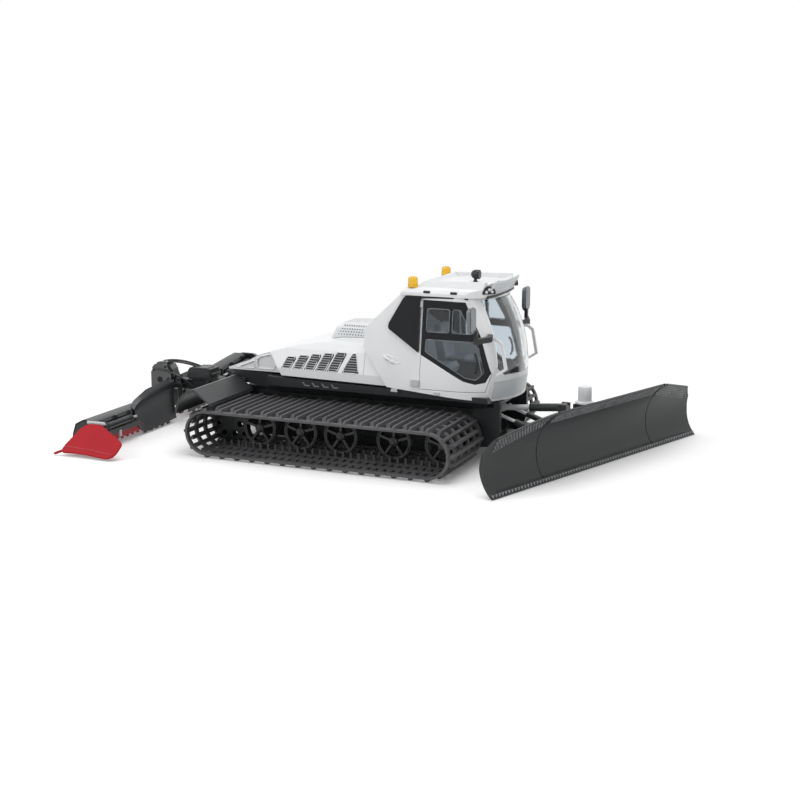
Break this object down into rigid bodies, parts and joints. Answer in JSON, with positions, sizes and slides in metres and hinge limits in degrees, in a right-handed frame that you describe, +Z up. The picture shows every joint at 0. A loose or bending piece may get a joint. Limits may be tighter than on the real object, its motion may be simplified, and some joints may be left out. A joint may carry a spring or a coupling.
{
  "type": "toy snow groomer",
  "caption": "Toy snow groomer: tracked carrier with a glazed cab and opening doors, a lifting, swivelling front blade with folding wings and a rear tiller with side flaps.",
  "frame": {"origin": "on the ground under the middle of the bounding box", "axes": "+X forward, +Y to the driver's left, +Z up"},
  "size_m": [0.5562, 0.3649, 0.1783],
  "materials": {
    "white_shell": "gloss moulded plastic",
    "grey_shell": "satin moulded plastic",
    "black_plastic": "fine grained black plastic",
    "dark_grey_plastic": "satin dark grey plastic",
    "track_plastic": "soft moulded track",
    "wheel_grey": "moulded wheel",
    "red_plastic": "gloss red plastic",
    "amber_lens": "clear amber plastic",
    "clear_glass": "clear sheet",
    "blue_glass": "blue tinted clear sheet",
    "silver_plastic": "silver plastic",
    "seat_plastic": "pale grey plastic"
  },
  "bodies": {
    "chassis": {"track_right": "track_plastic", "track_left": "track_plastic", "road_wheels": "wheel_grey", "sprockets": "black_plastic", "hull_tub": "black_plastic", "body_tray": "black_plastic", "rear_fenders": "dark_grey_plastic", "front_mount": "black_plastic", "cab_shell": "white_shell", "windscreen": "clear_glass", "quarter_panels": "black_plastic", "nose_panel": "grey_shell", "cab_roof": "white_shell", "hood": "white_shell", "hood_louvres": "black_plastic", "intake_hump": "grey_shell", "tail_deck": "white_shell", "seats": "seat_plastic", "dashboard": "dark_grey_plastic", "beacons": "amber_lens", "roof_lip": "black_plastic", "roof_lamps": "black_plastic", "lamp_lenses": "white_shell", "searchlight": "black_plastic", "mirror_arms": "black_plastic", "mirrors": "grey_shell", "grab_bars": "white_shell", "door_hinges": "silver_plastic", "hitch_lugs": "black_plastic"},
    "door_right": {"door_panel_right": "white_shell", "door_frame_right": "black_plastic", "door_glass_right": "blue_glass"},
    "door_left": {"door_panel_left": "white_shell", "door_frame_left": "black_plastic", "door_glass_left": "blue_glass"},
    "lift_arm": {"lift_frame": "black_plastic"},
    "lower_barrels": {"lift_barrels": "black_plastic"},
    "lower_rods": {"lift_rods": "silver_plastic"},
    "top_barrel": {"upper_barrel": "black_plastic"},
    "top_rod": {"upper_rod": "silver_plastic"},
    "blade": {"swivel_head": "black_plastic", "swivel_knob": "grey_shell", "blade_middle": "black_plastic"},
    "wing_right": {"blade_wing_right": "black_plastic"},
    "wing_left": {"blade_wing_left": "black_plastic"},
    "tiller": {"tiller_carrier": "black_plastic"},
    "tiller_head": {"tiller_bracket": "black_plastic"},
    "tiller_right": {"tiller_cover_right": "dark_grey_plastic"},
    "tiller_left": {"tiller_cover_left": "dark_grey_plastic"},
    "rotor_right": {"tiller_rotor_right": "red_plastic"},
    "rotor_left": {"tiller_rotor_left": "red_plastic"},
    "flap_right": {"tiller_flap_right": "red_plastic"},
    "flap_left": {"tiller_flap_left": "red_plastic"}
  },
  "joints": [
    {"name": "door_right_hinge", "type": "hinge", "parent": "chassis", "child": "door_right", "pos_m": [0.0545, -0.05512, 0.11], "axis": [0, -0.1312, -0.9914], "range_deg": [0, 80]},
    {"name": "door_left_hinge", "type": "hinge", "parent": "chassis", "child": "door_left", "pos_m": [0.0545, 0.05512, 0.11], "axis": [0, -0.1312, 0.9914], "range_deg": [0, 80]},
    {"name": "blade_lift", "type": "hinge", "parent": "chassis", "child": "lift_arm", "pos_m": [0.112, 0, 0.022], "axis": [0, -1, 0], "range_deg": [0, 14]},
    {"name": "lower_barrel_pivot", "type": "hinge", "parent": "lift_arm", "child": "lower_barrels", "pos_m": [0.157, 0, 0.03], "axis": [0, -1, 0], "range_deg": [0, 1.5]},
    {"name": "lower_rod_slide", "type": "slide", "parent": "lower_barrels", "child": "lower_rods", "axis": [-0.9435, 0, 0.3315], "range_m": [-0.0054, 0]},
    {"name": "top_barrel_pivot", "type": "hinge", "parent": "lift_arm", "child": "top_barrel", "pos_m": [0.181, 0, 0.0505], "axis": [0, -1, 0], "range_deg": [0, 4]},
    {"name": "top_rod_slide", "type": "slide", "parent": "top_barrel", "child": "top_rod", "axis": [-0.9967, 0, -0.0817], "range_m": [-0.0052, 0]},
    {"name": "blade_swivel", "type": "hinge", "parent": "lift_arm", "child": "blade", "pos_m": [0.2008, 0, 0.035], "axis": [0, 0, 1], "range_deg": [-5.3, 44.7]},
    {"name": "wing_right_hinge", "type": "hinge", "parent": "blade", "child": "wing_right", "pos_m": [0.20334, -0.09555, 0.033], "axis": [0, 0, 1], "range_deg": [0, 60]},
    {"name": "wing_left_hinge", "type": "hinge", "parent": "blade", "child": "wing_left", "pos_m": [0.26341, 0.07222, 0.033], "axis": [0, 0, -1], "range_deg": [0, 60]},
    {"name": "tiller_lift", "type": "hinge", "parent": "chassis", "child": "tiller", "pos_m": [-0.16, 0, 0.034], "axis": [0, 1, 0], "range_deg": [0, 30]},
    {"name": "tiller_swing", "type": "hinge", "parent": "tiller", "child": "tiller_head", "pos_m": [-0.21, 0, 0.0415], "axis": [0, 0, 1], "range_deg": [-10, 10]},
    {"name": "tiller_right_flex", "type": "hinge", "parent": "tiller_head", "child": "tiller_right", "pos_m": [-0.248, -0.008, 0.04], "axis": [-1, 0, 0], "range_deg": [-8, 10]},
    {"name": "tiller_left_flex", "type": "hinge", "parent": "tiller_head", "child": "tiller_left", "pos_m": [-0.248, 0.008, 0.04], "axis": [1, 0, 0], "range_deg": [-15, 3]},
    {"name": "rotor_right_spin", "type": "hinge", "parent": "tiller_right", "child": "rotor_right", "pos_m": [-0.2625, -0.08, 0.0155], "axis": [0, 1, 0], "continuous": true},
    {"name": "rotor_left_spin", "type": "hinge", "parent": "tiller_left", "child": "rotor_left", "pos_m": [-0.2625, 0.08245, 0.02446], "axis": [0, 0.9925, 0.1219], "continuous": true},
    {"name": "flap_right_hinge", "type": "hinge", "parent": "tiller_right", "child": "flap_right", "pos_m": [-0.2465, -0.1526, 0.029], "axis": [-1, 0, 0], "range_deg": [0, 95]},
    {"name": "flap_left_hinge", "type": "hinge", "parent": "tiller_left", "child": "flap_left", "pos_m": [-0.2465, 0.15286, 0.0467], "axis": [1, 0, 0], "range_deg": [0, 98]}
  ]
}
